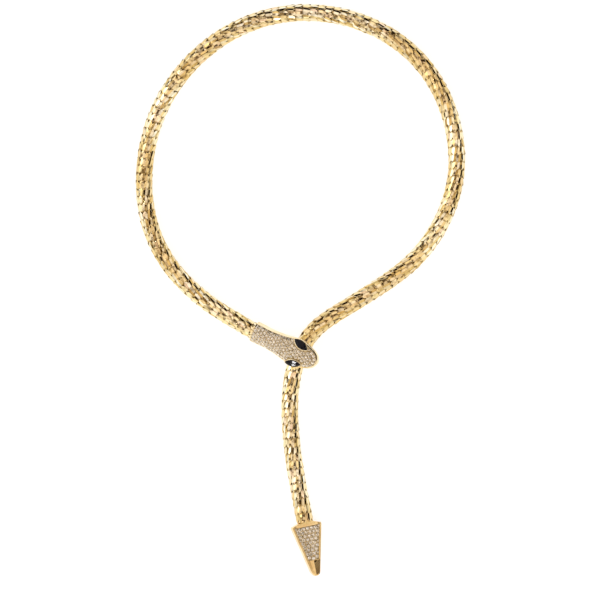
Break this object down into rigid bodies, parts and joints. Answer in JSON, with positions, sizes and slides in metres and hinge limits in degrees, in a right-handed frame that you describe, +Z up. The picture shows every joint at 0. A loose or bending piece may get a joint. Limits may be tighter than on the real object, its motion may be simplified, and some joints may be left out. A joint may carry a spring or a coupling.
{
  "type": "snake necklace",
  "caption": "Collar-length round chain of gold scales with a stone-set snake's head clipped over it and a stone-set arrow-shaped tail tip hanging below.",
  "frame": {"origin": "middle of the necklace's box in plan, on the surface that it lies on", "axes": "+Y up the piece from the tail tip to the back of the neck loop, +X to the picture's right, +Z up off the surface"},
  "size_m": [0.1452, 0.2518, 0.0177],
  "materials": {
    "chain_gold": "polished gold-plated scales with browned recesses",
    "cast_gold": "polished gold plate",
    "clip_gold": "plain gold-plated spring strip",
    "clear_stones": "foil-backed clear cut stones set in pale gold",
    "black_stones": "faceted opaque black stones"
  },
  "bodies": {
    "root": {"snake_chain": "chain_gold", "head_casting": "cast_gold", "head_pave": "clear_stones", "eye_left": "black_stones", "eye_right": "black_stones", "head_clip": "clip_gold", "tail_tip": "cast_gold", "tail_pave": "clear_stones"}
  },
  "joints": []
}
